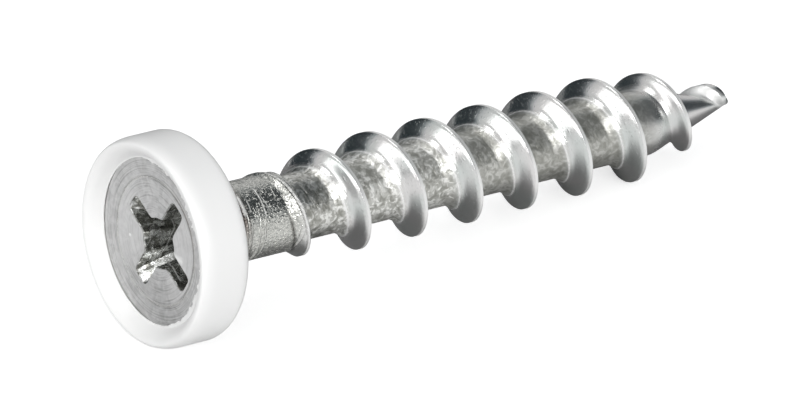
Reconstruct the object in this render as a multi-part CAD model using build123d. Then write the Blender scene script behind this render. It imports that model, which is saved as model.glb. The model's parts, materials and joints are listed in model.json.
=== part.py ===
from build123d import *

import os
from math import asin, atan2, ceil, cos, hypot, pi, radians, sin, tan

# A mounting screw: a steel screw with a cross recess in a flat disc head and a coarse
# self-tapping thread, and a plastic collar moulded round the rim of its head.
#
# Both pieces are modelled on the screw's own axis, with z = 0 on the steel face of the head
# and z growing towards the point. Angles round the axis are in degrees, from the underside
# of the lying screw, and grow as a right-hand thread climbs. The pair is then laid down as
# it comes to rest, on the collar and on a thread crest. All lengths are in millimetres.

# ---------------------------------------------------------------- driving dimensions

# Steel blank
screw_length = 31.1        # steel face to point
head_height = 1.4
head_edge_break = 0.2      # the chamfer round both rims of the head
neck_diameter = 5.2        # the cone that stiffens the shank under the head
neck_length = 0.9
shank_diameter = 3.55
shank_end = 6.4
shank_step_angle = 40      # slope of the step from shank to core
core_diameter = 3.0
point_angle = 33           # included angle of the core's point
tip_radius = 0.12

# Thread
thread_diameter = 5.0
thread_pitch = 3.0
crest_width = 0.18
head_side_lean = 32        # flank angles, from square to the axis
point_side_lean = 22
root_height = 0.38         # the foot of a flank, where it spreads out onto the core
head_root_lean = 54
point_root_lean = 34
crest_taper_length = 5.65  # over which the crest dies away to the point
crest_taper_power = 0.6    # under 1, so the crest's outline bulges before the point
point_fade_length = 0.6    # the last of the thread, which dives into the core
thread_stop = 0.15         # how far short of the tip's rounding it ends

# Run-in, where the thread grows out of the shank
run_in_start = 4.8
run_in_angle = 45
run_in_sink = 0.055        # how far below the shank's surface the crest starts
run_in_length = 6.8
run_in_lean = 58           # the first ridge slopes back gently onto the shank

# Cross recess
recess_span = 4.75         # wing tip to wing tip, at the face
recess_wing_width = 0.9
recess_core_diameter = 2.2
recess_depth = 2.45
recess_floor_span = 2.3
recess_floor_wing_width = 0.7
recess_floor_core_diameter = 1.5
recess_cone_depth = 0.35   # the drilled-looking cone below the wings
recess_corner_radius = 0.25
recess_angle = 28          # of the first wing
recess_offset = 0.24       # the punch sat this far off the axis, towards the -y side

# Plastic collar
collar_diameter = 9.32
rim_wall = 0.71            # plastic outside the head's rim
nose_outer_width = 0.2     # from the collar's outer wall in to the nose's highest line
nose_inner_width = 0.735   # from there down to the mouth
nose_height = 0.74         # how proud the nose stands of the steel face
rear_lip_height = 0.43     # the wall behind the head's rim
rear_lip_clearance = 0.15  # round the neck
back_edge_radius = 0.55

# ---------------------------------------------------------------- derived sizes

head_diameter = collar_diameter - 2 * rim_wall
head_radius = head_diameter / 2
neck_radius = neck_diameter / 2
shank_radius = shank_diameter / 2
run_in_diameter = shank_diameter - 2 * run_in_sink
core_radius = core_diameter / 2
thread_radius = thread_diameter / 2
neck_end = head_height + neck_length
core_start = shank_end + (shank_radius - core_radius) / tan(radians(shank_step_angle))

half_point = radians(point_angle / 2)
tip_centre = screw_length - tip_radius
cone_apex = tip_centre + tip_radius / sin(half_point)
cone_start = cone_apex - core_radius / tan(half_point)
thread_end = tip_centre - thread_stop

nose_diameter = collar_diameter - 2 * nose_outer_width
collar_mouth_diameter = nose_diameter - 2 * nose_inner_width
rear_lip_bore = neck_diameter + 2 * rear_lip_clearance
collar_radius = collar_diameter / 2
nose_radius = nose_diameter / 2
mouth_radius = collar_mouth_diameter / 2
collar_back = head_height + rear_lip_height
back_edge_centre = collar_back - back_edge_radius

SECTIONS_PER_TURN = 8      # cross-sections that each turn of the ridge is lofted through
ROOT_SINK = 0.04           # how far the flanks' feet dip below the core, as a share of its radius
END_SINK = 0.3             # how far the end of the ridge dives into the core, likewise
RIDGE_ROOT_DEPTH = 0.3     # how deep the ridge reaches into the core, likewise


# ---------------------------------------------------------------- thread rules

def ease(share):
    """A smooth step from 0 to 1 as share goes from 0 to 1."""
    share = min(1, max(0, share))
    return share * share * (3 - 2 * share)


def crest_angle(z):
    """Where round the axis, in radians, the crest passes the height z."""
    return radians(run_in_angle) + 2 * pi * (z - run_in_start) / thread_pitch


def core_radius_at(z):
    """The core is a cylinder that ends in a cone."""
    return core_radius * min(1, (cone_apex - z) / (cone_apex - cone_start))


def crest_radius_at(z):
    """The crest grows out of the shank, runs level and dies away to the point."""
    grown = min(1, (z - run_in_start) / run_in_length)
    run_in_radius = run_in_diameter / 2
    growing = run_in_radius + (thread_radius - run_in_radius) * sin(pi / 2 * grown)
    to_point = min(1, (screw_length - z) / crest_taper_length)
    tapering = thread_radius * to_point ** crest_taper_power
    return min(growing, tapering)


def head_side_lean_at(z):
    """The first ridge leans far back, and stands up once the shank has ended."""
    past_shank = ease((z - shank_end - thread_pitch / 4) / (thread_pitch / 2))
    return run_in_lean + (head_side_lean - run_in_lean) * past_shank


def flank(side, lean, root_lean, crest, foot):
    """One flank's corners in the section plane: crest, start of the root and foot."""
    root_start = foot + min(root_height, (crest - foot) / 2)
    edge = crest_width / 2
    root_edge = edge + (crest - root_start) * tan(radians(lean))
    foot_edge = root_edge + (root_start - foot) * tan(radians(root_lean))
    return [(crest, side * edge), (root_start, side * root_edge), (foot, side * foot_edge)]


def ridge_section(z):
    """The ridge's cross-section where its crest passes the height z, as a wire.

    The section plane holds the axis: its first direction points out from the axis, and its
    second one down the axis, towards the point.
    """
    fade = ease((thread_end - z) / point_fade_length)
    core = core_radius_at(z) * (1 - END_SINK * (1 - fade))
    crest = core + (crest_radius_at(z) - core) * fade
    foot = core * (1 - ROOT_SINK)
    inside = core * (1 - RIDGE_ROOT_DEPTH)
    head_side = flank(-1, head_side_lean_at(z), head_root_lean, crest, foot)
    point_side = flank(1, point_side_lean, point_root_lean, crest, foot)
    under = [(inside, head_side[2][1]), (inside, point_side[2][1])]
    outline = Wire.make_polygon([Vector(*corner) for corner in head_side + under + point_side[::-1]])

    angle = crest_angle(z)
    outward = (cos(angle), sin(angle), 0)
    against_turn = (sin(angle), -cos(angle), 0)
    return outline.moved(Plane((0, 0, z), outward, against_turn).location)


# ---------------------------------------------------------------- steel screw

def thread_turns():
    """The helical ridge, one lofted solid for each turn."""
    turns = ceil((thread_end - run_in_start) / thread_pitch)
    steps = turns * SECTIONS_PER_TURN
    rise = (thread_end - run_in_start) / steps
    sections = [ridge_section(run_in_start + rise * step) for step in range(steps + 1)]
    starts = range(0, steps, SECTIONS_PER_TURN)
    return [Solid.make_loft(sections[first : first + SECTIONS_PER_TURN + 1]) for first in starts]


def blank():
    """Head, neck, shank, core and point, turned about the axis."""
    cone_end = tip_centre + tip_radius * sin(half_point)
    cone_end_radius = tip_radius * cos(half_point)
    tip_mid = (pi / 2 + half_point) / 2
    outline = Polyline(
        (0, 0),
        (head_radius - head_edge_break, 0),
        (head_radius, head_edge_break),
        (head_radius, head_height - head_edge_break),
        (head_radius - head_edge_break, head_height),
        (neck_radius, head_height),
        (shank_radius, neck_end),
        (shank_radius, shank_end),
        (core_radius, core_start),
        (core_radius, cone_start),
        (cone_end_radius, cone_end),
    )
    tip = ThreePointArc(
        (cone_end_radius, cone_end),
        (tip_radius * cos(tip_mid), tip_centre + tip_radius * sin(tip_mid)),
        (0, screw_length),
    )
    half_section = make_face(Plane.XZ * (outline + tip + Line((0, screw_length), (0, 0))))
    return revolve(half_section, Axis.Z)


def cross(span, wing_width, waist_diameter):
    """The outline of the recess at one depth: two crossed slots and a round waist."""
    slot = Rectangle(span, wing_width)
    outline = slot + Rot(0, 0, 90) * slot + Circle(waist_diameter / 2)
    inner = outline.vertices().filter_by(lambda v: hypot(v.X, v.Y) < 0.51 * waist_diameter)
    return fillet(inner, recess_corner_radius)


def cross_recess():
    """The punched cross: it narrows with depth, and ends in a shallow cone."""
    mouth = cross(recess_span, recess_wing_width, recess_core_diameter)
    floor = cross(recess_floor_span, recess_floor_wing_width, recess_floor_core_diameter)
    wings = loft([mouth, Pos(0, 0, recess_depth) * floor], ruled=True)
    cone = Cone(recess_floor_core_diameter / 2, 0, recess_cone_depth)
    cone = Pos(0, 0, recess_depth + recess_cone_depth / 2) * cone
    return Pos(0, -recess_offset, 0) * Rot(0, 0, recess_angle) * (wings + cone)


def make_screw():
    return blank().fuse(*thread_turns()) - cross_recess()


# ---------------------------------------------------------------- plastic collar

def make_collar():
    """A ring that grips the head's rim between its nose and its rear lip.

    The nose rounds over from the outer wall, then slopes down to the mouth as a shallow dish.
    """
    shoulder = (nose_radius + nose_outer_width * cos(pi / 4), -nose_height * sin(pi / 4))
    nose = Spline((collar_radius, 0), shoulder, (nose_radius, -nose_height), tangents=((0, -1), (-1, 0)))
    dish = Line((nose_radius, -nose_height), (mouth_radius, 0))
    back_edge = CenterArc((collar_radius - back_edge_radius, back_edge_centre), back_edge_radius, 0, 90)
    outer_wall = Line((collar_radius, 0), (collar_radius, back_edge_centre))
    seat = Polyline(
        (collar_radius - back_edge_radius, collar_back),
        (rear_lip_bore / 2, collar_back),
        (rear_lip_bore / 2, head_height),
        (mouth_radius, head_height),
        (mouth_radius, 0),
    )
    ring = revolve(make_face(Plane.XZ * (nose + dish + outer_wall + back_edge + seat)), Axis.Z)
    return ring - blank()


# ---------------------------------------------------------------- the screw at rest

def rest_tilt():
    """How far, in degrees, the point dips when the collar and a thread crest touch the floor."""
    tilts = []
    below = run_in_start - thread_pitch * run_in_angle / 360
    while below < screw_length:
        along = below + crest_width / 2 - back_edge_centre
        across = crest_radius_at(below) - (collar_radius - back_edge_radius)
        if below > shank_end:
            tilts.append(asin(back_edge_radius / hypot(along, across)) - atan2(across, along))
        below += thread_pitch
    return min(tilts) * 180 / pi


def lay_down(pieces):
    """Turn the axis to +X, point down by the rest tilt, and centre the pair on the floor."""
    laid = [Rot(0, 90 + rest_tilt(), 0) * piece for piece in pieces]
    box = Compound(laid).bounding_box()
    to_floor = Pos(-box.center().X, -box.center().Y, -box.min.Z)
    return [to_floor * piece for piece in laid]


def main():
    screw, collar = lay_down([make_screw(), make_collar()])
    os.makedirs("parts", exist_ok=True)
    export_step(screw, "parts/steel_screw.step")
    export_step(collar, "parts/head_collar.step")
    box = Compound([screw, collar]).bounding_box()
    print(f"rest tilt {rest_tilt():.2f} degrees")
    print(f"overall {box.size.X:.2f} x {box.size.Y:.2f} x {box.size.Z:.2f} mm")
    print(f"steel {screw.volume:.1f} mm3, plastic {collar.volume:.1f} mm3")


main()
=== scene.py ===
# %% [markdown]
# # A mounting screw with a plastic collar
# A steel self-tapping screw lies on a white table. Its flat head has a cross recess, size 2, and sits in a
# white plastic collar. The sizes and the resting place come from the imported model, which this file calls
# the frame. Blender adds the finish: the rolled thread, the turned face, the punched recess, the moulded
# ring with its ragged flash, and the light. All lengths are in metres.

# %% The frame
import json
import math
from types import SimpleNamespace

import bmesh
import bpy
from mathutils import Matrix, Vector, noise


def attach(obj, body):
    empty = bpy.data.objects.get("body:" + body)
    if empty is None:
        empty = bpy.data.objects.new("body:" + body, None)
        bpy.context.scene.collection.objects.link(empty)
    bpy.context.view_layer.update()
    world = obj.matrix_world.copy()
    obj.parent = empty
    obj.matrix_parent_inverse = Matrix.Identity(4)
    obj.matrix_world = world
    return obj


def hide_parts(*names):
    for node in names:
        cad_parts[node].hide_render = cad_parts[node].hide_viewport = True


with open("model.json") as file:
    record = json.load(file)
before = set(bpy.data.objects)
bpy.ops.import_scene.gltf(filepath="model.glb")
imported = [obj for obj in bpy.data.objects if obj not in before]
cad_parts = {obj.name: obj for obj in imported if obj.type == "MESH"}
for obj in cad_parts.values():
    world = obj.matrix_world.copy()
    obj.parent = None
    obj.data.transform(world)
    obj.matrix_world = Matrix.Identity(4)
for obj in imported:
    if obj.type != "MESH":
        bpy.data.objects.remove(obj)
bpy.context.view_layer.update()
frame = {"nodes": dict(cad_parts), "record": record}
MM = 0.001
print("nodes:", sorted(frame["nodes"]))

# %% [markdown]
# ## Where the screw's axis runs
# The screw lies on its collar and on a thread crest, so its axis dips towards the point. Two mounts in the
# record give that axis exactly: the collar's back face has the axis as its normal, and the collar's rim is a
# cylinder round it. Every piece below is shaped in the screw's own frame, where z is 0 on the steel face and
# grows towards the point, and x points to the underside. One matrix then lays each mesh down.

# %% The screw's own frame
mounts = {mount["name"]: mount for mount in frame["record"]["mounts"]}
axis = Vector(mounts["seat"]["axis"]).normalized()
rim = mounts["collar_rim"]
rim_length = rim["dims"]["length_mm"] * MM
face_centre = Vector(rim["pos_m"]) - axis * rim_length / 2
sideways = Vector((0, 1, 0))
down = sideways.cross(axis).normalized()
LAY_DOWN = Matrix.Translation(face_centre) @ Matrix((down, sideways, axis)).transposed().to_4x4()
print("axis", [round(x, 4) for x in axis], "face centre", [round(x / MM, 2) for x in face_centre])

# %% [markdown]
# ## Sizes
# These are the sizes that the finished pieces need. The collar's diameter comes from the record. The others
# are the screw's own: a 5 mm thread that climbs 3 mm a turn on a 3 mm core, under a head 7.9 mm across. They
# stand together, so that two pieces that meet are built to one number.

# %% Sizes
collar_radius = rim["dims"]["r_mm"] * MM
screw_length = 31.1 * MM
head_radius = 3.95 * MM
head_height = 1.4 * MM
neck_radius = 2.6 * MM
neck_length = 0.9 * MM
shank_radius = 1.775 * MM
shank_end = 6.4 * MM
core_radius = 1.5 * MM
half_point = math.radians(16.5)
thread_radius = 2.5 * MM
pitch = 3.0 * MM
crest_width = 0.15 * MM
root_height = 0.38 * MM
run_in_start = 4.8 * MM
run_in_angle = math.radians(45)
join_height = 3.5 * MM
rim_break = 0.2 * MM
mouth_radius = 3.725 * MM
nose_radius = 4.46 * MM
crown_radius = 4.42 * MM
nose_height = 0.72 * MM
collar_back = 1.83 * MM
back_edge_radius = 0.55 * MM
lip_radius = 2.75 * MM
print("collar", round(2 * collar_radius / MM, 2), "mm across")

# %% [markdown]
# ## The camera
# The camera stands far off with a long lens, so the far end of the screw is hardly smaller than the near
# end. It looks down on the head from the front left. It aims at a point up the shank, so that head and
# point both fit.

# %% The camera
look = Vector((0.50269, 0.71549, -0.48516)).normalized()
camera_distance = 501.1 * MM
aim_right, aim_up = 10.495 * MM, 1.456 * MM
camera_right = look.cross(Vector((0, 0, 1))).normalized()
camera_up = camera_right.cross(look)
aim = face_centre + camera_right * aim_right + camera_up * aim_up
stand = face_centre - look * camera_distance
camera_data = bpy.data.cameras.new("camera")
camera_data.lens = 525.6
camera_data.sensor_width = 36
camera_data.clip_end = 10
camera = bpy.data.objects.new("camera", camera_data)
bpy.context.scene.collection.objects.link(camera)
bpy.context.scene.camera = camera
level = Matrix((camera_right, camera_up, -look)).transposed().to_4x4()
swing = (-look).rotation_difference(-(aim - stand).normalized()).to_matrix().to_4x4()
camera.matrix_world = Matrix.Translation(stand) @ swing @ level
print("camera at", [round(x, 3) for x in stand])

# %% [markdown]
# ## Writing formulas as nodes
# Geometry nodes and shader nodes share one Math node. A long formula made of such nodes is hard to read, so
# this small class lets plain Python signs make them: `a * b + 1` adds a Multiply and an Add node to the tree.

# %% Formula helper
class Quantity:
    """A number that a node tree works out, with Python's signs for its Math nodes."""

    def __init__(self, tree, socket):
        self.tree = tree
        self.socket = socket

    def math(self, operation, *others):
        node = self.tree.nodes.new("ShaderNodeMath")
        node.operation = operation
        for place, term in enumerate((self,) + others):
            if isinstance(term, Quantity):
                self.tree.links.new(term.socket, node.inputs[place])
            else:
                node.inputs[place].default_value = term
        return Quantity(self.tree, node.outputs[0])

    def __add__(self, other): return self.math("ADD", other)
    def __radd__(self, other): return self.math("ADD", other)
    def __sub__(self, other): return self.math("SUBTRACT", other)
    def __mul__(self, other): return self.math("MULTIPLY", other)
    def __rmul__(self, other): return self.math("MULTIPLY", other)
    def __truediv__(self, other): return self.math("DIVIDE", other)
    def __rsub__(self, other): return self.math("MULTIPLY", -1.0) + other
    def __pow__(self, other): return self.math("POWER", other)

    def clamped(self):
        """Held between 0 and 1."""
        return self.math("MINIMUM", 1.0).math("MAXIMUM", 0.0)

    def eased(self):
        """A smooth step from 0 to 1."""
        share = self.clamped()
        return share * share * (3.0 - 2.0 * share)


def link(tree, quantity, socket):
    """Feed a quantity, or a plain number, into a socket."""
    if isinstance(quantity, Quantity):
        tree.links.new(quantity.socket, socket)
    else:
        socket.default_value = quantity


# %% [markdown]
# ## How a finish is made
# A finish here is a formula of the place on the screw. Each material starts from coordinates in the screw's
# own frame, in millimetres, so a mark can be set at a level on the shank or at an angle round the head. Noise
# then varies the grey, the roughness and a fine bump. An image wrapped round the screw would have to be
# unwrapped, and it would blur close up. A formula has no seams and stays sharp at any distance.

# %% Material helpers
def new_material(name):
    """An empty node material with a Principled shader, and coordinates in the screw's own frame, in mm."""
    material = bpy.data.materials.new(name)
    material.use_nodes = True
    tree = material.node_tree
    shader = tree.nodes["Principled BSDF"]
    coordinates = tree.nodes.new("ShaderNodeTexCoord")
    shifted = tree.nodes.new("ShaderNodeVectorMath")
    shifted.operation = "SUBTRACT"
    shifted.inputs[1].default_value = face_centre
    tree.links.new(coordinates.outputs["Object"], shifted.inputs[0])
    parts = []
    for direction in (down, sideways, axis):
        along = tree.nodes.new("ShaderNodeVectorMath")
        along.operation = "DOT_PRODUCT"
        along.inputs[1].default_value = direction / MM
        tree.links.new(shifted.outputs[0], along.inputs[0])
        parts.append(Quantity(tree, along.outputs["Value"]))
    place = tree.nodes.new("ShaderNodeCombineXYZ")
    for part, socket in zip(parts, place.inputs):
        link(tree, part, socket)
    return material, tree, shader, parts, place.outputs[0]


def noise_field(tree, place, scale, detail=2.0, roughness=0.55, distortion=0.0):
    """Noise from 0 to 1 in the screw's frame. scale is in cycles per mm."""
    texture = tree.nodes.new("ShaderNodeTexNoise")
    texture.inputs["Scale"].default_value = scale
    texture.inputs["Detail"].default_value = detail
    texture.inputs["Roughness"].default_value = roughness
    texture.inputs["Distortion"].default_value = distortion
    tree.links.new(place, texture.inputs["Vector"])
    return Quantity(tree, texture.outputs["Fac"])


def blend_colours(tree, share, first, second):
    """A colour between two others. Each is a plain colour or a socket."""
    mix = tree.nodes.new("ShaderNodeMix")
    mix.data_type = "RGBA"
    link(tree, share, mix.inputs["Factor"])
    for colour, socket in ((first, mix.inputs["A"]), (second, mix.inputs["B"])):
        if isinstance(colour, tuple):
            socket.default_value = colour + (1,)
        else:
            tree.links.new(colour, socket)
    return mix.outputs["Result"]


def add_bump(tree, shader, height, strength, distance=0.012 * MM):
    """Bump from a height quantity."""
    bump = tree.nodes.new("ShaderNodeBump")
    bump.inputs["Strength"].default_value = strength
    bump.inputs["Distance"].default_value = distance
    link(tree, height, bump.inputs["Height"])
    tree.links.new(bump.outputs["Normal"], shader.inputs["Normal"])


print("helpers ready")

# %% [markdown]
# ## Where each finish lies
# One piece of steel carries several finishes: a turned face, a punched recess, a granular shank, scuffed roots
# and bright flanks. Each gets a mask, which is 1 where the finish lies and eases to 0 at its border. The
# borders could be drawn by hand on an unwrapped skin. Here each is a level along the axis or a distance from
# it, so it follows the shape by itself. Rolling marks follow the helix, so the thread has a coordinate of its
# own: how far a spot lies from the crest line.

# %% Finish zones
# levels along the axis and distances from it, in mm
RECESS_REACH, RECESS_LEAN, RECESS_DEPTH = 2.55, 0.33, 3.0
NECK_STOPS, SHANK_STOPS, FAR_STARTS, POINT_STARTS = 3.70, 6.1, 12.5, 24.6
ROOT_REACH = 1.58
FIRST_BITE, LAST_BITE = 4.85, 6.6


def steel_zones(x, y, z):
    """Coordinates over the screw, and masks that are 1 where a finish lies and 0 elsewhere."""
    at = SimpleNamespace(x=x, y=y, z=z)
    at.around = (x * x + y * y).math("SQRT")
    at.turn = y.math("ARCTAN2", x)
    below_face = (z * 30.0).clamped()
    at.face = 1.0 - below_face
    at.recess = ((RECESS_REACH - z * RECESS_LEAN - at.around) * 12.0).clamped()
    at.recess = at.recess * below_face * (RECESS_DEPTH - z).clamped()
    at.outside = (1.0 - at.face) * (1.0 - at.recess)
    at.neck = (1.0 - ((z - NECK_STOPS) / 0.3).eased()) * at.outside
    at.shank = (1.0 - ((z - SHANK_STOPS) / 0.7).eased()) * at.outside
    at.point = ((z - POINT_STARTS) / 2.4).eased()
    at.root = (1.0 - ((at.around - ROOT_REACH) / 0.30).eased()) * (1.0 - at.shank)
    at.root = at.root * (1.0 - at.point) * at.outside
    at.far = ((z - FAR_STARTS) / 6.0).eased()

    # how far a spot lies from the crest line, along the axis, and the level of that crest
    climb = pitch / MM / (2 * math.pi)
    at.across = z - run_in_start / MM - (at.turn - run_in_angle) * climb
    at.across = at.across.math("WRAP", pitch / MM / 2, -pitch / MM / 2)
    at.crest = z - at.across
    at.bite = ((at.crest - FIRST_BITE) / 0.3).eased() * (1.0 - ((at.crest - LAST_BITE) / 0.9).eased())
    return at


def streaks(tree, along, over):
    """Noise from two coordinates: long in one and fine in the other."""
    spot = tree.nodes.new("ShaderNodeCombineXYZ")
    link(tree, along, spot.inputs[0])
    link(tree, over, spot.inputs[1])
    return noise_field(tree, spot.outputs[0], 1.0)


def ramp(field, start, slope):
    """Part of a field's range, stretched from 0 to 1."""
    return ((field - start) * slope).clamped()


def line(away, half_width, core=1.0):
    """A soft line where away is 0. A core above 1 gives it a full middle."""
    return (core - away.math("ABSOLUTE") / half_width).clamped()


print("zones ready")

# %% [markdown]
# ## The marks of the tools
# Up close this screw shows how it was made. The lathe left rings on the face, the dies left streaks along the
# helix, and the punch left the recess mottled. A few single marks stand out: a bead of metal with a fold beside
# it where the dies first bit, the light line of the crest, a nick in the face, and scratches round the shank.
# The bead's white is a painted highlight, and the dark of the fold, a crease and a tuck is painted shade. The
# light line along the root's edge, the face's lighter sides beside the recess and two bright arcs on its groove
# are painted highlights too. Sculpting them would take a very dense mesh, so they are masks that change colour,
# shine and bump.

# %% Noises and single marks
SCRATCHES = (
    # level in mm, climb, turns where it starts and stops, half width in mm, strength
    (4.66, 0.03, -2.95, -2.00, 0.028, 1.0),
    (4.72, 0.42, -2.70, -2.15, 0.024, 0.8),
    (3.66, 0.00, -2.85, -2.10, 0.080, 1.0),
    (4.02, -0.10, -2.70, -2.20, 0.030, 0.7),
)
NICK = (0.49, 1.835)


def steel_noises(tree, place, at):
    """The noises that the finishes share, from coarse to fine, and the streaks that the tools left."""
    noises = SimpleNamespace()
    noises.tint = noise_field(tree, place, 0.55, detail=1.0)
    noises.blotch = noise_field(tree, place, 1.9, distortion=1.2)
    noises.mottle = noise_field(tree, place, 3.2, distortion=0.8)
    noises.grain = noise_field(tree, place, 9.0)
    noises.dents = ramp(noises.grain, 0.60, 8.0)
    noises.turned = streaks(tree, at.around * 17.0, at.turn * 1.2)
    noises.rolled = streaks(tree, at.across * 5.0, (at.z + at.turn * 1.6) * 0.5)
    noises.scored = ramp(streaks(tree, at.z * 5.0 + at.turn * 0.6, at.turn * 0.45), 0.61, 14.0)
    noises.ringed = streaks(tree, at.z * 9.0, at.turn * 0.35)
    return noises


def steel_marks(at, noises):
    """Masks for the single marks."""
    marks = SimpleNamespace()
    # where the dies first bit: a bead, painted white as a painted highlight; a crease and a fold beside it and
    # the tuck where the root starts, painted dark as painted shade
    marks.bead = line(at.across, 0.062, 1.5) * at.bite * (0.7 + ramp(noises.grain, 0.35, 5.0) * 0.3)
    marks.crease = line(at.across + 0.12, 0.045) * at.bite * ramp(noises.mottle, 0.36, 6.0)
    marks.fold = line(at.across - 0.115, 0.05) * at.bite
    marks.tuck = line(at.across + 0.62, 0.11) * ramp(at.crest, 6.35, 4.0) * ramp(at.crest * -1.0, -7.25, 4.0)

    # the crest, where the metal from both flanks met last, is rough and light, and broader at the point
    half_width = 0.10 + ((at.z - 28.0) / 1.5).eased() * 0.25
    marks.crest_line = line(at.across, half_width, 1.3) * (1.0 - at.shank) * at.outside

    # a painted highlight: a light line along the root's edge on the head's side
    marks.burnished = line(at.across + 0.70, 0.06) * (1.0 - at.shank) * (1.0 - at.point)
    marks.burnished = marks.burnished * (1.0 - ((at.around - 1.95) / 0.2).clamped())

    # on the face, a painted highlight on the groove's outer edge, on two opposite sides, and one nick
    marks.groove_edge = line(at.around - 2.87, 0.035, 1.2)
    marks.groove_edge = marks.groove_edge * ramp(at.x * at.y / (at.around * at.around), 0.02, 6.0)
    from_nick = (at.x - NICK[0]) * (at.x - NICK[0]) + (at.y - NICK[1]) * (at.y - NICK[1])
    marks.nick = ramp(from_nick.math("SQRT") * -1.0, -0.10, 20.0) * at.face

    # scratches and rubbed arcs round the shank, and a stain beside the collar
    marks.scratches = 0.0
    for level, climb, first, last, half_width, strength in SCRATCHES:
        scratch = line(at.z - level - (at.turn - first) * climb, half_width, 1.5)
        scratch = scratch * ramp(at.turn, first, 6.0) * ramp(at.turn * -1.0, -last, 6.0)
        marks.scratches = scratch * strength + marks.scratches
    marks.scratches = marks.scratches.clamped()
    marks.stained = at.neck * ramp(noises.ringed, 0.40, 12.0) * line(at.turn + 2.3, 0.8, 1.2)
    return marks


print("marks ready")

# %% [markdown]
# ## Plated steel
# Zinc plate is a metal with a soft, slightly cool shine. Most of its light and dark bands are reflections, so
# the flanks need little more than a grey and a low roughness. The scuffed root, the granular shank, the turned
# face and the punched recess each have a grey that varies between two others. Scuffed metal scatters light, so
# there the material is also less metallic, which keeps it light where the room behind it is dark. Plain
# chrome or one brushed pattern over the whole screw would be simpler, but would look like a toy.

# %% Plated steel
def turned_face(tree, at, noises, marks):
    """Rings of grey, with a painted highlight beside the recess and a painted highlight on the groove's edge."""
    rings = ramp(noises.turned, 0.34, 6.0) * 0.6 + ramp(noises.blotch, 0.40, 4.0) * 0.4
    grey = blend_colours(tree, rings, (0.38, 0.38, 0.38), (0.68, 0.68, 0.68))
    # painted highlight: inside the groove the face is lighter on two sides of the recess
    beside_recess = ramp(at.y.math("ABSOLUTE") / at.around, 0.50, 3.0) * (1.0 - ramp(at.around, 2.80, 25.0))
    grey = blend_colours(tree, beside_recess * 0.40, grey, (0.82, 0.82, 0.82))
    return blend_colours(tree, marks.groove_edge * 0.8, grey, (0.97, 0.97, 0.97))


def zone_colours(tree, at, noises, marks):
    """The grey of every zone: flanks first, and then each other finish over them."""
    colour = blend_colours(tree, ramp(noises.tint, 0.36, 4.0), (0.72, 0.75, 0.735), (0.81, 0.80, 0.795))
    worms = 1.0 - ((noises.mottle - 0.5).math("ABSOLUTE") * 11.0).clamped()
    patchy = ramp(noises.mottle + (noises.blotch - 0.5) * 0.5, 0.36, 4.0)
    patchy = patchy * (1.0 - worms * 0.45) * (1.0 - at.far * 0.6)
    scuffed = blend_colours(tree, patchy, (0.34, 0.34, 0.31), (0.93, 0.93, 0.90))
    granular = blend_colours(tree, ramp(noises.grain, 0.36, 4.5), (0.47, 0.48, 0.455), (0.78, 0.78, 0.74))
    turned = turned_face(tree, at, noises, marks)
    punched = blend_colours(tree, ramp(noises.mottle, 0.42, 6.0), (0.26, 0.26, 0.24), (0.86, 0.87, 0.86))
    for zone, finish in ((at.root, scuffed), (at.shank, granular), (at.face, turned), (at.recess, punched)):
        colour = blend_colours(tree, zone, colour, finish)
    return colour


def plated_steel():
    material, tree, shader, (x, y, z), place = new_material("zinc_plate")
    at = steel_zones(x, y, z)
    noises = steel_noises(tree, place, at)
    marks = steel_marks(at, noises)
    colour = zone_colours(tree, at, noises, marks)
    # over the zones: the bead's white and the root's light line are painted highlights, and the dark of the fold,
    # tuck and crease is painted shade
    for share, tone in (
        (marks.bead, (0.98, 0.98, 0.96)),
        ((marks.fold + marks.tuck + marks.crease * 0.8).clamped() * 0.9, (0.10, 0.095, 0.085)),
        (marks.nick, (0.97, 0.97, 0.97)),
        (marks.crest_line * 0.75, (0.93, 0.93, 0.92)),
        (marks.burnished * 0.8, (0.97, 0.97, 0.96)),
        ((at.neck * 0.15 + marks.stained * 0.8).clamped(), (0.15, 0.12, 0.105)),
        (marks.scratches * 0.9, (0.97, 0.97, 0.95)),
    ):
        colour = blend_colours(tree, share, colour, tone)
    tree.links.new(colour, shader.inputs["Base Color"])

    # scuffed metal scatters light, so it is partly matt
    matt = at.root * ((z - 7.5) / 2.5).eased() * (0.45 - at.far * 0.20)
    matt = matt + noises.scored * at.shank * 0.75 + at.shank * 0.03 + marks.bead * 0.6
    matt = matt + marks.crest_line * 0.5 + marks.burnished * 0.35
    matt = matt + (marks.nick + marks.groove_edge * at.face) * 0.6 + marks.scratches * 0.75
    link(tree, 1.0 - matt.clamped(), shader.inputs["Metallic"])
    rough = 0.20 + at.root * 0.16 + at.point * 0.05 + at.shank * 0.02 + at.face * 0.16 + at.recess * 0.06
    rough = rough + (noises.blotch - 0.5) * 0.08 + marks.crest_line * 0.15
    link(tree, rough, shader.inputs["Roughness"])

    # relief: waves and streaks on the root, grains on the shank, rings on the neck and the face
    height = at.root * (noises.blotch * 3.0 + noises.mottle * 2.8 + noises.rolled * 2.4) * (1.0 - at.far * 0.35)
    height = height + (noises.grain * 0.10 + noises.dents * 0.35) * (1.0 - at.point * 0.65)
    grains = noises.grain * 3.0 + noises.dents * 1.6 + noises.scored * 3.5 + noises.mottle * 0.8
    height = height + at.shank * grains + at.neck * noises.ringed * 9.0
    height = height + at.face * (noises.turned * 1.8 + noises.mottle * 0.35)
    height = height + at.recess * (noises.mottle * 1.4 + noises.grain * 1.0)
    height = height + marks.bead * 7.0 - marks.fold * 3.0 - marks.tuck * 3.0 + marks.nick * 2.0
    add_bump(tree, shader, height, 1.0)
    return material


steel = plated_steel()
print("material", steel.name)

# %% [markdown]
# ## Moulded plastic
# The collar is plain white plastic with a soft shine. Even plain plastic isn't one flat white: it varies a
# little with the way it cooled. A broad noise moves the white and the shine, and a fine one dimples the
# surface. Light that sinks in and comes out again is truer to plastic, but on a ring as small as this one it
# only blurs the edge, so the shader's subsurface stays at 0.

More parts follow.
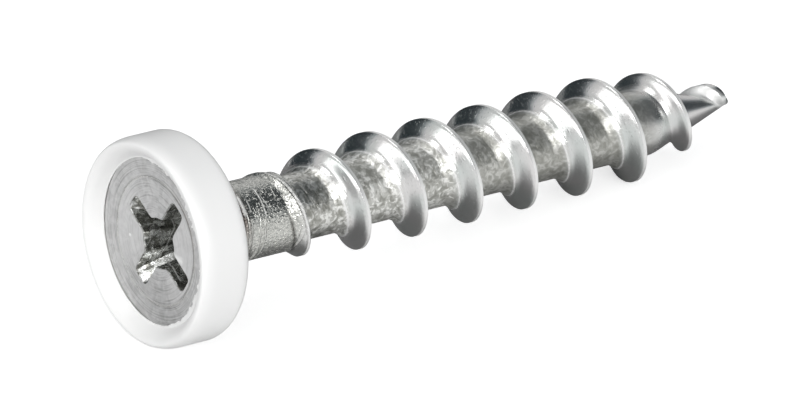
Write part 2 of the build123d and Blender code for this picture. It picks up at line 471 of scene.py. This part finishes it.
# %% Moulded plastic
def moulded_plastic():
    material, tree, shader, _, place = new_material("moulded_plastic")
    wave = noise_field(tree, place, 0.30, detail=1.0)
    fine = noise_field(tree, place, 7.0)
    colour = blend_colours(tree, wave, (0.893, 0.893, 0.888), (0.913, 0.913, 0.908))
    tree.links.new(colour, shader.inputs["Base Color"])
    link(tree, 0.36 + (wave - 0.5) * 0.10, shader.inputs["Roughness"])
    add_bump(tree, shader, fine * 0.12, 0.4)
    return material


plastic = moulded_plastic()
print("material", plastic.name)

# %% [markdown]
# ## The shank and thread
# A rolled thread is one skin: the core, the root and the ridge are the same metal, pushed up between the
# dies. So it isn't a coil laid on a rod. A grid of points follows the helix. One direction of the grid runs
# along the crest line and the other across one pitch, from the root on the head's side over the crest to the
# root on the point's side. Each row of the grid meets the row of the next turn, and they are welded. The
# radius at each point is the larger of the core and the ridge, with a smooth join that gives the rolled root.
# The same tree makes the plain shank, where the ridge is still below the surface, and the point, where the
# core is a cone.

# %% Thread sizes
TURN_STEPS = 96
LAND_ROWS, FLANK_ROWS, CREST_ROWS = 5, 14, 4
head_foot, point_foot = 0.95 * MM, 0.72 * MM
tip_radius = 0.085 * MM
grows_over, falls_over, fades_over = 6.8 * MM, 5.65 * MM, 0.8 * MM
buried = 0.055 * MM
waves_round, wave_length = 1.6, 1.1 * MM
THREAD_SIZES = (
    ("Pitch", pitch), ("Core radius", core_radius), ("Shank radius", shank_radius),
    ("Crest radius", thread_radius), ("Crest width", crest_width), ("Length", screw_length),
    ("Start", join_height), ("Shank end", shank_end), ("Run-in start", run_in_start), ("Wander", 0.012 * MM),
)
turns = (screw_length - join_height + pitch) / pitch
print("the grid follows", round(turns, 1), "turns")

# %% Tree and grid
def tree_with_sizes(name, sizes):
    """A geometry tree with a named input for each size, the finish and the noise's seed, and those sizes."""
    tree = bpy.data.node_groups.new(name, "GeometryNodeTree")
    tree.interface.new_socket(name="Geometry", in_out="OUTPUT", socket_type="NodeSocketGeometry")
    for label, value in sizes:
        socket = tree.interface.new_socket(name=label, in_out="INPUT", socket_type="NodeSocketFloat")
        socket.default_value = value
    tree.interface.new_socket(name="Finish", in_out="INPUT", socket_type="NodeSocketMaterial")
    seed = tree.interface.new_socket(name="Seed", in_out="INPUT", socket_type="NodeSocketFloat")
    seed.default_value = 3.0
    entry = tree.nodes.new("NodeGroupInput")
    size = SimpleNamespace()
    for label, _ in sizes:
        plain_name = label.lower().replace(" ", "_").replace("-", "_")
        setattr(size, plain_name, Quantity(tree, entry.outputs[label]))
    return tree, entry, size


def thread_grid(tree):
    """A flat grid with one line of points for each row along the helix, and each point's step and row."""
    steps = math.ceil(turns * TURN_STEPS)
    rows = 2 * LAND_ROWS + 2 * FLANK_ROWS + CREST_ROWS + 2
    grid = tree.nodes.new("GeometryNodeMeshGrid")
    grid.inputs["Size X"].default_value = steps
    grid.inputs["Size Y"].default_value = rows
    grid.inputs["Vertices X"].default_value = steps + 1
    grid.inputs["Vertices Y"].default_value = rows + 1
    position = tree.nodes.new("GeometryNodeInputPosition")
    split = tree.nodes.new("ShaderNodeSeparateXYZ")
    tree.links.new(position.outputs[0], split.inputs[0])
    step = Quantity(tree, split.outputs[0]) + steps / 2
    row = Quantity(tree, split.outputs[1]) + rows / 2
    return grid.outputs["Mesh"], step, row


print("grid ready")

# %% [markdown]
# Across one pitch the rows divide into root, flank, crest, flank and root. Along the helix the crest grows out
# of the shank, runs level, and falls in a bulging line to the point, where it sinks into the cone. Each of
# these is a formula, so one size can change and the rest follows.

# %% Blank and crest
def from_crest(row, size):
    """How far a row lies from the crest line, along the axis."""
    edge = size.crest_width * 0.13
    half = size.crest_width / 2.0
    spans = [
        (LAND_ROWS, size.pitch / 2.0 - head_foot), (FLANK_ROWS, head_foot - half - edge),
        (1, edge), (CREST_ROWS, size.crest_width), (1, edge),
        (FLANK_ROWS, point_foot - half - edge), (LAND_ROWS, size.pitch / 2.0 - point_foot),
    ]
    offset = size.pitch * -0.5
    first = 0
    for count, width in spans:
        offset = offset + ((row - first) / count).clamped() * width
        first += count
    return offset


def blank_radius(z, size):
    """The turned blank before the dies: shank, core and point."""
    step_down = ((z - size.shank_end) / (0.33 * MM)).eased()
    blank = size.shank_radius + (size.core_radius - size.shank_radius) * step_down
    cone = (size.length - z) * math.tan(half_point) + tip_radius
    return blank.math("SMOOTH_MIN", cone, 0.12 * MM)


def crest_height(crest_z, size):
    """The crest's radius where its line has reached a level, and the core's radius there."""
    grown = ((crest_z - size.run_in_start) / grows_over).clamped()
    growing = (size.crest_radius - size.shank_radius + buried) * (grown * (math.pi / 2)).math("SINE")
    growing = size.shank_radius - buried + growing
    growing = growing - (size.run_in_start - crest_z).math("MAXIMUM", 0.0) * 2.0
    to_point = ((size.length - crest_z) / falls_over).clamped()
    height = growing.math("MINIMUM", size.crest_radius * (to_point ** 0.6))

    # just short of the tip it sinks into the cone
    core = size.core_radius.math("MINIMUM", (size.length - crest_z) * math.tan(half_point) + tip_radius)
    height = height - ((crest_z - size.length + 2.2 * MM) / (0.7 * MM)).eased() * 0.12 * MM
    fade = ((size.length - 0.12 * MM - crest_z) / fades_over).eased()
    height = core + (height - core) * fade - 0.02 * MM * (1.0 - fade)
    return height, core


print("blank and crest ready")

# %% [markdown]
# A flank is a steep face that ends in a root, which spreads out towards the next turn. The head's side leans
# far back where the ridge first grows, and stands steeper past the shank. Smooth Minimum and Smooth Maximum
# round the places where two of these formulas meet, as the dies do.

# %% Flanks
def flank(height, root_top, beyond, lean, root_lean):
    """A flank's radius at a distance beyond the crest's edge."""
    face = height - beyond / lean
    root = root_top - (beyond - (height - root_top) * lean) / math.tan(math.radians(root_lean))
    return face.math("SMOOTH_MAX", root, 0.10 * MM)


def rolled_radius(z, crest_z, offset, size):
    """The skin's radius: the larger of the blank and the ridge."""
    height, core = crest_height(crest_z, size)
    root_top = core + ((height - core) * 0.5).math("MINIMUM", root_height)
    past_shank = ((crest_z - size.shank_end - size.pitch * 0.25) / (size.pitch * 0.5)).eased()
    steep_head, steep_start = math.tan(math.radians(32)), math.tan(math.radians(58))
    head_lean = steep_start + (steep_head - steep_start) * past_shank
    at_tip = ((crest_z - size.length + 2.9 * MM) / (1.8 * MM)).eased()
    point_lean = math.tan(math.radians(22)) + at_tip * 1.5
    half = size.crest_width / 2.0
    to_head = (offset * -1.0 - 0.05 * MM * past_shank - half).math("MAXIMUM", 0.0)
    to_point = (offset - half).math("MAXIMUM", 0.0)
    head_side = flank(height, root_top, to_head, head_lean, 54)
    point_side = flank(height, root_top, to_point, point_lean, 34)
    ridge = head_side.math("MINIMUM", point_side).math("SMOOTH_MIN", height, 0.05 * MM)
    return blank_radius(z, size).math("SMOOTH_MAX", ridge, 0.09 * MM + at_tip * 0.10 * MM)


def wandering(tree, radius, z, angle, seed, size):
    """Nothing is quite round: noise moves the ridge a little, and not the core."""
    field = tree.nodes.new("ShaderNodeTexNoise")
    field.noise_dimensions = "4D"
    field.inputs["Scale"].default_value = 1.0
    field.inputs["Detail"].default_value = 2.0
    spot = tree.nodes.new("ShaderNodeCombineXYZ")
    link(tree, angle.math("COSINE") * waves_round, spot.inputs[0])
    link(tree, angle.math("SINE") * waves_round, spot.inputs[1])
    link(tree, z / wave_length, spot.inputs[2])
    tree.links.new(spot.outputs[0], field.inputs["Vector"])
    tree.links.new(seed, field.inputs["W"])
    above_core = ((radius - size.core_radius) / (size.crest_radius - size.core_radius)).clamped()
    return radius - Quantity(tree, field.outputs["Fac"]) * size.wander * above_core * 2.0


print("flanks ready")

# %% [markdown]
# The tree puts these together. Set Position moves every point of the flat grid out to its place round the
# axis, Merge by Distance welds each turn to the next, and the last nodes make it plain mesh in one material.

# %% Thread tree
def build_thread_tree():
    tree, entry, size = tree_with_sizes("rolled_thread", THREAD_SIZES)
    flat_grid, step, row = thread_grid(tree)

    # where the crest is at this step, along the axis and round it, and where this row is
    crest_z = size.start - size.pitch / 2.0 + step * size.pitch / TURN_STEPS
    angle = (crest_z - size.run_in_start) / size.pitch * (2 * math.pi) + run_in_angle
    offset = from_crest(row, size)
    z = (crest_z + offset).math("MAXIMUM", size.start).math("MINIMUM", size.length)
    # the last turn is drawn out towards the tip
    drawn_out = ((z - size.length + 2.7 * MM) / (1.3 * MM)).eased()
    drawn_out = drawn_out * (1.0 - ((z - size.length + 1.2 * MM) / (1.2 * MM)).eased())
    z = z + drawn_out * 0.30 * MM

    radius = rolled_radius(z, crest_z, offset, size)
    radius = wandering(tree, radius, z, angle, entry.outputs["Seed"], size)
    # the very tip is blunt
    to_tip = size.length - z
    blunt = (to_tip * 0.62 * MM).math("MAXIMUM", 0.0).math("SQRT")
    blunt = blunt + (to_tip - 0.4 * MM).math("MAXIMUM", 0.0) * 10.0
    radius = radius.math("MINIMUM", blunt)

    # out to the surface
    place = tree.nodes.new("ShaderNodeCombineXYZ")
    link(tree, angle.math("COSINE") * radius, place.inputs[0])
    link(tree, angle.math("SINE") * radius, place.inputs[1])
    link(tree, z, place.inputs[2])
    shaped = tree.nodes.new("GeometryNodeSetPosition")
    tree.links.new(flat_grid, shaped.inputs["Geometry"])
    tree.links.new(place.outputs[0], shaped.inputs["Position"])
    welded = tree.nodes.new("GeometryNodeMergeByDistance")
    welded.inputs["Distance"].default_value = 0.0003 * MM
    smooth = tree.nodes.new("GeometryNodeSetShadeSmooth")
    plain = tree.nodes.new("GeometryNodeRealizeInstances")
    finished = tree.nodes.new("GeometryNodeSetMaterial")
    tree.links.new(entry.outputs["Finish"], finished.inputs["Material"])
    leave = tree.nodes.new("NodeGroupOutput")
    for before, after in zip((shaped, welded, smooth, plain), (welded, smooth, plain, finished)):
        tree.links.new(before.outputs["Geometry"], after.inputs["Geometry"])
    tree.links.new(finished.outputs["Geometry"], leave.inputs[0])
    return tree


thread_tree = build_thread_tree()
print("thread tree has", len(thread_tree.nodes), "nodes")

# %% [markdown]
# A modifier runs the tree, and its inputs are set by their identifiers. The result is then taken as a plain
# mesh, so that nothing in the finished piece depends on the modifier.

# %% Shank mesh
def mesh_from_tree(tree, name, **values):
    """Run a geometry tree on an empty object and return the result as a plain mesh object."""
    holder = bpy.data.objects.new(name + "_holder", bpy.data.meshes.new(name + "_holder"))
    bpy.context.scene.collection.objects.link(holder)
    modifier = holder.modifiers.new("shape", "NODES")
    modifier.node_group = tree
    for item in tree.interface.items_tree:
        if item.item_type == "SOCKET" and item.in_out == "INPUT" and item.name in values:
            modifier[item.identifier] = values[item.name]
    bpy.context.view_layer.update()
    evaluated = holder.evaluated_get(bpy.context.evaluated_depsgraph_get())
    mesh = bpy.data.meshes.new_from_object(evaluated)
    bpy.data.objects.remove(holder)
    piece = bpy.data.objects.new(name, mesh)
    bpy.context.scene.collection.objects.link(piece)
    return piece


shank = mesh_from_tree(thread_tree, "rolled_shank", Finish=steel)
print("shank faces", len(shank.data.polygons))

# %% [markdown]
# ## Turned pieces
# The head and the collar are round, so each is an outline spun about the axis, as on a lathe. Blender's Screw
# modifier does the same. A few lines of mesh code do it here, because the first angle and the number of steps
# have to match the thread's, so that the head's end and the shank's start share their points.

# %% Lathe
def piece_from(edit, name):
    """Make an object of a mesh that has been edited, with its faces pointing outwards."""
    bmesh.ops.recalc_face_normals(edit, faces=edit.faces)
    mesh = bpy.data.meshes.new(name)
    edit.to_mesh(mesh)
    edit.free()
    piece = bpy.data.objects.new(name, mesh)
    bpy.context.scene.collection.objects.link(piece)
    return piece


def lathe(name, outline, segments=384, first_angle=0.0, closed=False):
    """An outline of (radius, z) points spun about the axis. A closed outline makes a ring."""
    edit = bmesh.new()
    rings = []
    for radius, z in outline:
        if radius < 1e-9:
            rings.append([edit.verts.new((0, 0, z))] * segments)
            continue
        ring = []
        for k in range(segments):
            turn = first_angle + 2 * math.pi * k / segments
            ring.append(edit.verts.new((radius * math.cos(turn), radius * math.sin(turn), z)))
        rings.append(ring)
    pairs = list(zip(rings, rings[1:] + rings[:1])) if closed else list(zip(rings, rings[1:]))
    for low, high in pairs:
        for k in range(segments):
            corners = [low[k], low[(k + 1) % segments], high[(k + 1) % segments], high[k]]
            unique = list(dict.fromkeys(corners))
            if len(unique) > 2:
                edit.faces.new(unique)
    return piece_from(edit, name)


def arc(centre, radii, first, last, count):
    """Points on an elliptical arc in the (radius, z) plane, angles in degrees."""
    turns = [math.radians(first + (last - first) * k / count) for k in range(count + 1)]
    return [(centre[0] + radii[0] * math.cos(t), centre[1] + radii[1] * math.sin(t)) for t in turns]


print("lathe ready")

# %% [markdown]
# ## The head
# The steel head is a flat disc. Its face carries one shallow turned groove with a low lip inside it, and its
# back runs into the shank in a hollow curve, the neck. The groove could be bump alone, but it is real depth
# here, because it catches the light all round.

# %% Head
groove_radius = 2.84 * MM
GROOVE = (
    # away from the groove's middle, and depth, in mm
    (-0.16, 0), (-0.11, -0.008), (-0.06, 0.006), (-0.015, 0.020), (0.02, 0.020), (0.06, 0.006), (0.11, 0),
)
head_outline = [(r * MM, 0) for r in (0, 0.8, 1.6, 2.2, 2.6)]
head_outline += [(groove_radius + away * MM, depth * MM) for away, depth in GROOVE]
head_outline += [(3.3 * MM, 0), (3.6 * MM, 0), (head_radius - rim_break, 0)]
head_outline += [(head_radius, rim_break), (head_radius, head_height - rim_break)]
head_outline += [(head_radius - rim_break, head_height), (neck_radius + 0.03 * MM, head_height)]
NECK_POINTS = 14
for k in range(1, NECK_POINTS + 1):
    share = k / NECK_POINTS
    flare = neck_radius - (neck_radius - shank_radius) * math.sin(share * math.pi / 2)
    head_outline.append((flare, head_height + neck_length * share * share * 1.05))
head_outline += [(shank_radius, level) for level in (2.8 * MM, 3.1 * MM, join_height)] + [(0, join_height)]
join_angle = run_in_angle + (join_height - pitch / 2 - run_in_start) / pitch * 2 * math.pi
head = lathe("turned_head", head_outline, TURN_STEPS, join_angle)
print("head faces", len(head.data.polygons))

# %% [markdown]
# ## The cross recess
# A punch drives the cross recess, size 2, into the cold head. Its wings taper with depth and end in flat
# floors round a shallow cone, and the corners between the wings bulge into four rounded islands. The punch
# also rolls the edge over, so the mouth is a little wider. The recess is cut with a Boolean, from a solid that
# is built level by level.

# %% Recess
recess_angle = math.radians(28)
recess_offset = 0.24 * MM
recess_floor = 2.80 * MM
wall_waves, edge_waves = 0.03, 0.015
LEVELS = [
    # depth, span, wing width, waist diameter, in mm
    (-0.40, 4.95, 1.10, 2.40), (-0.02, 4.91, 1.04, 2.34), (0.05, 4.76, 0.91, 2.22), (0.60, 4.25, 0.86, 2.06),
    (1.20, 3.60, 0.81, 1.88), (1.90, 2.85, 0.75, 1.68), (2.40, 2.35, 0.70, 1.50), (2.46, 2.20, 0.60, 1.44),
]


def cross_outline(span, width, waist, corner_steps=5):
    """The cross at one depth: straight wings, and islands rounded by a soft waist. Same count at any size."""
    points = []
    for wing in range(4):
        turn = wing * math.pi / 2
        quarter = []
        half_span, half_width = span / 2, width / 2
        reach = math.sqrt(max((waist / 2) ** 2 - half_width ** 2, 0.01))
        for k in range(9):
            share = k / 8
            along = half_span - (half_span - reach) * share ** 0.85
            quarter.append((along, half_width))
        for k in range(1, corner_steps + 1):
            bow = math.atan2(half_width, reach)
            swing_angle = bow + (math.pi / 4 - bow) * k / corner_steps
            quarter.append((waist / 2 * math.cos(swing_angle), waist / 2 * math.sin(swing_angle)))
        side = [(along, -across) for along, across in reversed(quarter)][:-1]
        end = [(half_span, half_width * (k / 3 - 1)) for k in range(0, 7)]
        for along, across in side[1:] + end + quarter[1:]:
            points.append((along * math.cos(turn) - across * math.sin(turn),
                           along * math.sin(turn) + across * math.cos(turn)))
    for _ in range(2):
        before = points[-1:] + points[:-1]
        after = points[1:] + points[:1]
        points = [((a[0] + 2 * b[0] + c[0]) / 4, (a[1] + 2 * b[1] + c[1]) / 4)
                  for a, b, c in zip(before, points, after)]
    return points


def recess_cutter():
    """The solid that the recess is cut with. Noise makes its walls a little uneven."""
    edit = bmesh.new()
    rings = []
    for depth, span, width, waist in LEVELS:
        ring = []
        for px, py in cross_outline(span, width, waist):
            ragged = noise.noise(Vector((px * 2.2, py * 2.2, depth * 1.5)))
            ragged = ragged * (wall_waves if depth > 0 else edge_waves)
            spread = 1 + ragged / max(math.hypot(px, py), 0.6)
            qx = px * spread * math.cos(recess_angle) - py * spread * math.sin(recess_angle)
            qy = px * spread * math.sin(recess_angle) + py * spread * math.cos(recess_angle)
            ring.append(edit.verts.new((qx * MM, qy * MM - recess_offset, depth * MM)))
        rings.append(ring)
    for low, high in zip(rings, rings[1:]):
        for k in range(len(low)):
            j = (k + 1) % len(low)
            edit.faces.new((low[k], low[j], high[j], high[k]))
    edit.faces.new(rings[0][::-1])
    floor_point = edit.verts.new((0, -recess_offset, recess_floor))
    last = rings[-1]
    for k in range(len(last)):
        edit.faces.new((last[k], last[(k + 1) % len(last)], floor_point))
    return piece_from(edit, "recess_cutter")


def boolean(piece, other, operation):
    """Apply a Boolean with another mesh, which is then removed."""
    modifier = piece.modifiers.new("cut", "BOOLEAN")
    modifier.operation = operation
    modifier.solver = "EXACT"
    modifier.object = other
    bpy.context.view_layer.update()
    evaluated = piece.evaluated_get(bpy.context.evaluated_depsgraph_get())
    mesh = bpy.data.meshes.new_from_object(evaluated)
    piece.modifiers.remove(modifier)
    piece.data = mesh
    bpy.data.objects.remove(other)


boolean(head, recess_cutter(), "DIFFERENCE")
print("head with recess, faces", len(head.data.polygons))

# %% [markdown]
# ## One steel screw
# The head and shank are one piece of steel. A union Boolean could join them, but it leaves slivers where two
# curved skins touch. Here the head's flat end is deleted, and the two meshes are joined and welded where the
# neck meets the shank: both have their points at the same angles there. Edges sharper than 32 degrees stay
# crisp, and the rest shade smoothly.

# %% One steel screw
def smooth_by_angle(mesh, degrees):
    """Smooth faces, with a crisp edge wherever two faces meet at more than the angle."""
    edit = bmesh.new()
    edit.from_mesh(mesh)
    limit = math.radians(degrees)
    for face in edit.faces:
        face.smooth = True
    for edge in edit.edges:
        edge.smooth = not (edge.is_manifold and edge.calc_face_angle(0) > limit)
    edit.to_mesh(mesh)
    edit.free()


def lay(piece, material):
    """Put a finished mesh in its resting place, with one material."""
    piece.data.transform(LAY_DOWN)
    piece.data.materials.clear()
    piece.data.materials.append(material)
    for polygon in piece.data.polygons:
        polygon.material_index = 0


def weld(first, second, near):
    """Join two open meshes into one, and merge their edges where they meet."""
    edit = bmesh.new()
    edit.from_mesh(first.data)
    edit.from_mesh(second.data)
    rims = [v for v in edit.verts if v.is_boundary]
    bmesh.ops.remove_doubles(edit, verts=rims, dist=near)
    bmesh.ops.recalc_face_normals(edit, faces=edit.faces)
    loose = sum(not edge.is_manifold for edge in edit.edges)
    print("volume", round(edit.calc_volume() / MM ** 3, 1), "mm3, open edges", loose)
    edit.to_mesh(first.data)
    edit.free()
    bpy.data.objects.remove(second)


edit = bmesh.new()
edit.from_mesh(head.data)
end = [face for face in edit.faces if face.calc_center_median().z > join_height - 0.001 * MM]
bmesh.ops.delete(edit, geom=end, context="FACES")
edit.to_mesh(head.data)
edit.free()
weld(head, shank, 0.05 * MM)
screw = head
screw.name = "plated_screw"
smooth_by_angle(screw.data, 32)
lay(screw, steel)
print("screw faces", len(screw.data.polygons))

# %% [markdown]
# ## The plastic collar
# The collar was moulded round the head's rim. Its nose stands proud of the steel, its outer wall is straight,
# and its back edge is rounded. Inside, a dish slopes down to the mouth, which sits a little off the middle.
# The ring is spun from one closed outline, and then the points of the mouth are moved to one side, most at
# the mouth itself and not at all at the nose.

# %% Collar
DISH_POINTS, NOSE_POINTS, BACK_POINTS = 24, 26, 10
dish = [(mouth_radius, 0.0), (3.93 * MM, -0.33 * MM), (4.13 * MM, -0.715 * MM), (crown_radius, -nose_height)]
collar_outline = []
for k in range(DISH_POINTS + 1):
    t = k / DISH_POINTS
    weights = ((1 - t) ** 3, 3 * t * (1 - t) ** 2, 3 * t * t * (1 - t), t ** 3)
    collar_outline.append(tuple(sum(w * point[i] for w, point in zip(weights, dish)) for i in (0, 1)))
collar_outline += arc((crown_radius, 0), (collar_radius - crown_radius, nose_height), 272, 360, NOSE_POINTS)
collar_outline += [(collar_radius, 0.45 * MM), (collar_radius, 0.9 * MM)]
back_centre = (collar_radius - back_edge_radius, collar_back - back_edge_radius)
collar_outline += arc(back_centre, (back_edge_radius, back_edge_radius), 0, 90, BACK_POINTS)
collar_outline += [(3.4 * MM, collar_back), (lip_radius, collar_back), (lip_radius, head_height)]
collar_outline += [(head_radius - rim_break, head_height), (head_radius, head_height - rim_break)]
collar_outline += [(head_radius, rim_break), (head_radius - rim_break, 0.0), (mouth_radius + 0.02 * MM, 0.0)]
collar = lathe("moulded_collar", collar_outline, closed=True)
far_side = (0.5226, 0.8526)
mouth_shift = 0.13 * MM
for vertex in collar.data.vertices:
    radius = math.hypot(vertex.co.x, vertex.co.y)
    if radius < nose_radius and vertex.co.z < 0.1 * MM:
        share = (nose_radius - radius) / (nose_radius - mouth_radius)
        share = min(1.0, max(0.0, share))
        vertex.co.x += far_side[0] * mouth_shift * share
        vertex.co.y += far_side[1] * mouth_shift * share
smooth_by_angle(collar.data, 40)
lay(collar, plastic)
print("collar faces", len(collar.data.polygons))

# %% [markdown]
# ## The flash
# At the mouth the plastic crept over the steel in a thin, ragged skin, called flash. It is wide on one side and
# fades to nothing on the other. The mouth's own points could be pushed about, but the ring's steps are too
# coarse for teeth this small. So the flash is a separate strip with twice as many steps, and fractal noise
# gives each step its reach. The noise has a fixed place, so the teeth are the same every time.

# %% Flash
wide_side = math.radians(-110)
wide_reach, torn_reach = 0.31, 0.20
torn_from, torn_to, torn_over = -158, -121, 20


def flash_reach(turn):
    """How far the flash creeps in over the steel at an angle: most on one side, and ragged."""
    angle = math.degrees(turn)
    thick = wide_reach * max(0.0, math.cos(turn - wide_side)) ** 0.6
    torn = torn_reach * (torn_from < angle < torn_to) * min(1.0, (angle - torn_from) / torn_over)
    rough_edge = noise.fractal(Vector((math.cos(turn) * 9, math.sin(turn) * 9, 4.0)), 0.6, 2.0, 5)
    return max(0.0, thick + torn + rough_edge * (0.02 + 0.45 * torn + 0.28 * thick)) * MM


def flash_skin(count=768):
    """A skin of plastic that lies on the steel face, from the mouth in to its ragged edge."""
    edit = bmesh.new()
    rows = []
    for k in range(count):
        turn = 2 * math.pi * k / count - math.pi
        centre = Vector((far_side[0], far_side[1], 0)) * mouth_shift
        reach = flash_reach(turn)
        row = []
        for inward, lift in (
            (-0.06 * MM, 0.0), (-0.06 * MM, 0.045 * MM), (reach * 0.6, 0.04 * MM),
            (reach, 0.018 * MM), (reach + 0.01 * MM, 0.0),
        ):
            radius = mouth_radius - inward
            row.append(edit.verts.new(centre + Vector((radius * math.cos(turn), radius * math.sin(turn), -lift))))
        rows.append(row)
    for k in range(count):
        here, there = rows[k], rows[(k + 1) % count]
        for j in range(len(here)):
            i = (j + 1) % len(here)
            edit.faces.new((here[j], there[j], there[i], here[i]))
    return piece_from(edit, "mouth_flash")


flash = flash_skin()
smooth_by_angle(flash.data, 50)
lay(flash, plastic)
print("flash faces", len(flash.data.polygons))

# %% [markdown]
# ## The table
# Polished metal looks like what stands round it, so the table matters as much as the steel. To the camera it
# is plain white, with a soft shadow. The steel mirrors it too, and a white floor right up to the screw would
# wash the thread out. So to mirror rays the table is a darker grey, which is painted shade beside and behind
# the screw where its shadow would fall. In front of the screw and past its head it glows for them, a painted
# reflection of a bright floor. Light Path tells the rays apart: the painted shade and the glow are in the
# mirror only.

# %% Table
def path_is(tree, kind):
    """1 for rays of this kind, and 0 for others."""
    return Quantity(tree, tree.nodes.new("ShaderNodeLightPath").outputs[kind])


table_paint = bpy.data.materials.new("white_table")
table_paint.use_nodes = True
table_tree = table_paint.node_tree
table_shader = table_tree.nodes["Principled BSDF"]
table_shader.inputs["Roughness"].default_value = 0.9
table_shader.inputs["Specular IOR Level"].default_value = 0.0
table_shader.inputs["Emission Color"].default_value = (1, 1, 1, 1)
spot = table_tree.nodes.new("ShaderNodeSeparateXYZ")
table_tree.links.new(table_tree.nodes.new("ShaderNodeTexCoord").outputs["Object"], spot.inputs[0])
spot_x, spot_y = Quantity(table_tree, spot.outputs[0]), Quantity(table_tree, spot.outputs[1])
mirrored = path_is(table_tree, "Is Glossy Ray")
# to mirror rays the table is painted darker, a painted shade near the screw, and glows in front of it and past
# its head as a painted reflection
seen_grey, mirrored_grey = (0.80, 0.80, 0.80), (0.27, 0.27, 0.27)
seen_glow, mirrored_glow = 0.60, 0.62
table_grey = blend_colours(table_tree, mirrored, seen_grey, mirrored_grey)
table_tree.links.new(table_grey, table_shader.inputs["Base Color"])
in_front = ((spot_y * -1.0 - 1.6 * MM) / (3.2 * MM)).eased()
past_head = ((spot_x * -1.0 - 16.0 * MM) / (4.0 * MM)).eased()
glow = mirrored * in_front.math("MAXIMUM", past_head) * mirrored_glow
glow = path_is(table_tree, "Is Camera Ray") * seen_glow + glow
link(table_tree, glow, table_shader.inputs["Emission Strength"])
table_half = 0.6
table_mesh = bpy.data.meshes.new("table")
table_mesh.from_pydata(
    [(-table_half, -table_half, 0), (table_half, -table_half, 0), (table_half, table_half, 0),
     (-table_half, table_half, 0)], [], [(0, 1, 2, 3)])
table = bpy.data.objects.new("table", table_mesh)
bpy.context.scene.collection.objects.link(table)
table_mesh.materials.append(table_paint)
print("table ready")

# %% [markdown]
# ## The room
# A room that is bright all round would leave the steel flat and pale. Two soft dark patches, one on the right
# and one at the back, give it the dark bands that make it read as metal. Black cards could hang there, as in
# a real studio. A formula in the world shader does the same, with soft edges and nothing for the screw's
# shadow to fall on.

# %% The room
def patch(tree, ray, direction, core_angle, edge_angle):
    """1 in a round patch of the room, and 0 outside it, with a soft edge."""
    dot = tree.nodes.new("ShaderNodeVectorMath")
    dot.operation = "DOT_PRODUCT"
    dot.inputs[1].default_value = Vector(direction).normalized()
    tree.links.new(ray, dot.inputs[0])
    away = Quantity(tree, dot.outputs["Value"]).math("ARCCOSINE")
    core, edge = math.radians(core_angle), math.radians(edge_angle)
    return 1.0 - ((away - core) / (edge - core)).eased()


world = bpy.data.worlds.new("studio")
bpy.context.scene.world = world
world.use_nodes = True
room = world.node_tree
backdrop = room.nodes["Background"]
ray = room.nodes.new("ShaderNodeTexCoord").outputs["Generated"]
dark_right = patch(room, ray, (0.72, -0.25, 0.64), 32, 43)
dark_back = patch(room, ray, (-0.22, 0.96, 0.15), 31, 43)
dark = (dark_right + dark_back).clamped()
shade = blend_colours(room, dark, (1.0, 1.0, 1.0), (0.70, 0.89, 1.0))
room.links.new(shade, backdrop.inputs["Color"])
bright, dimmed_by = 0.63, 0.59
link(room, bright - dark * dimmed_by, backdrop.inputs["Strength"])
print("room ready")

# %% [markdown]
# ## The lamps
# Three rectangular lamps light the screw: a wide one on the left for the side of the head and the collar, a
# small one above for the tops of the turns, and the strongest in front for the face and the flanks that turn
# to it. Area lamps are used because their size shows in the steel as a soft highlight. A point lamp would
# leave only a speck.

# %% Lamps
def soft_lamp(name, place, size, power):
    """A rectangular lamp that points at the middle of the table. Sizes in metres, power in watts."""
    data = bpy.data.lights.new(name, "AREA")
    data.shape = "RECTANGLE"
    data.size, data.size_y = size
    data.energy = power
    lamp = bpy.data.objects.new(name, data)
    bpy.context.scene.collection.objects.link(lamp)
    lamp.location = place
    lamp.rotation_euler = (-Vector(place)).to_track_quat("-Z", "Y").to_euler()


soft_lamp("left_softbox", (-0.30, -0.06, 0.14), (0.34, 0.21), 0.25)
soft_lamp("top_softbox", (-0.10, 0.03, 0.36), (0.12, 0.12), 0.16)
soft_lamp("front_softbox", (-0.11, -0.425, 0.24), (0.34, 0.26), 1.08)
print("lamps ready")

# %% [markdown]
# ## Handing over
# Each finished piece rides on the part's one body and stands for the solid that it replaces. The collar and
# its flash stand for one solid between them.

# %% Hand-over
for piece, node, slot in (
    (screw, "steel_screw", "plated_steel"),
    (collar, "head_collar", "white_plastic"),
    (flash, "head_collar", "white_plastic"),
):
    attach(piece, "root")
    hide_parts(node)
bpy.context.scene.view_settings.view_transform = "Standard"
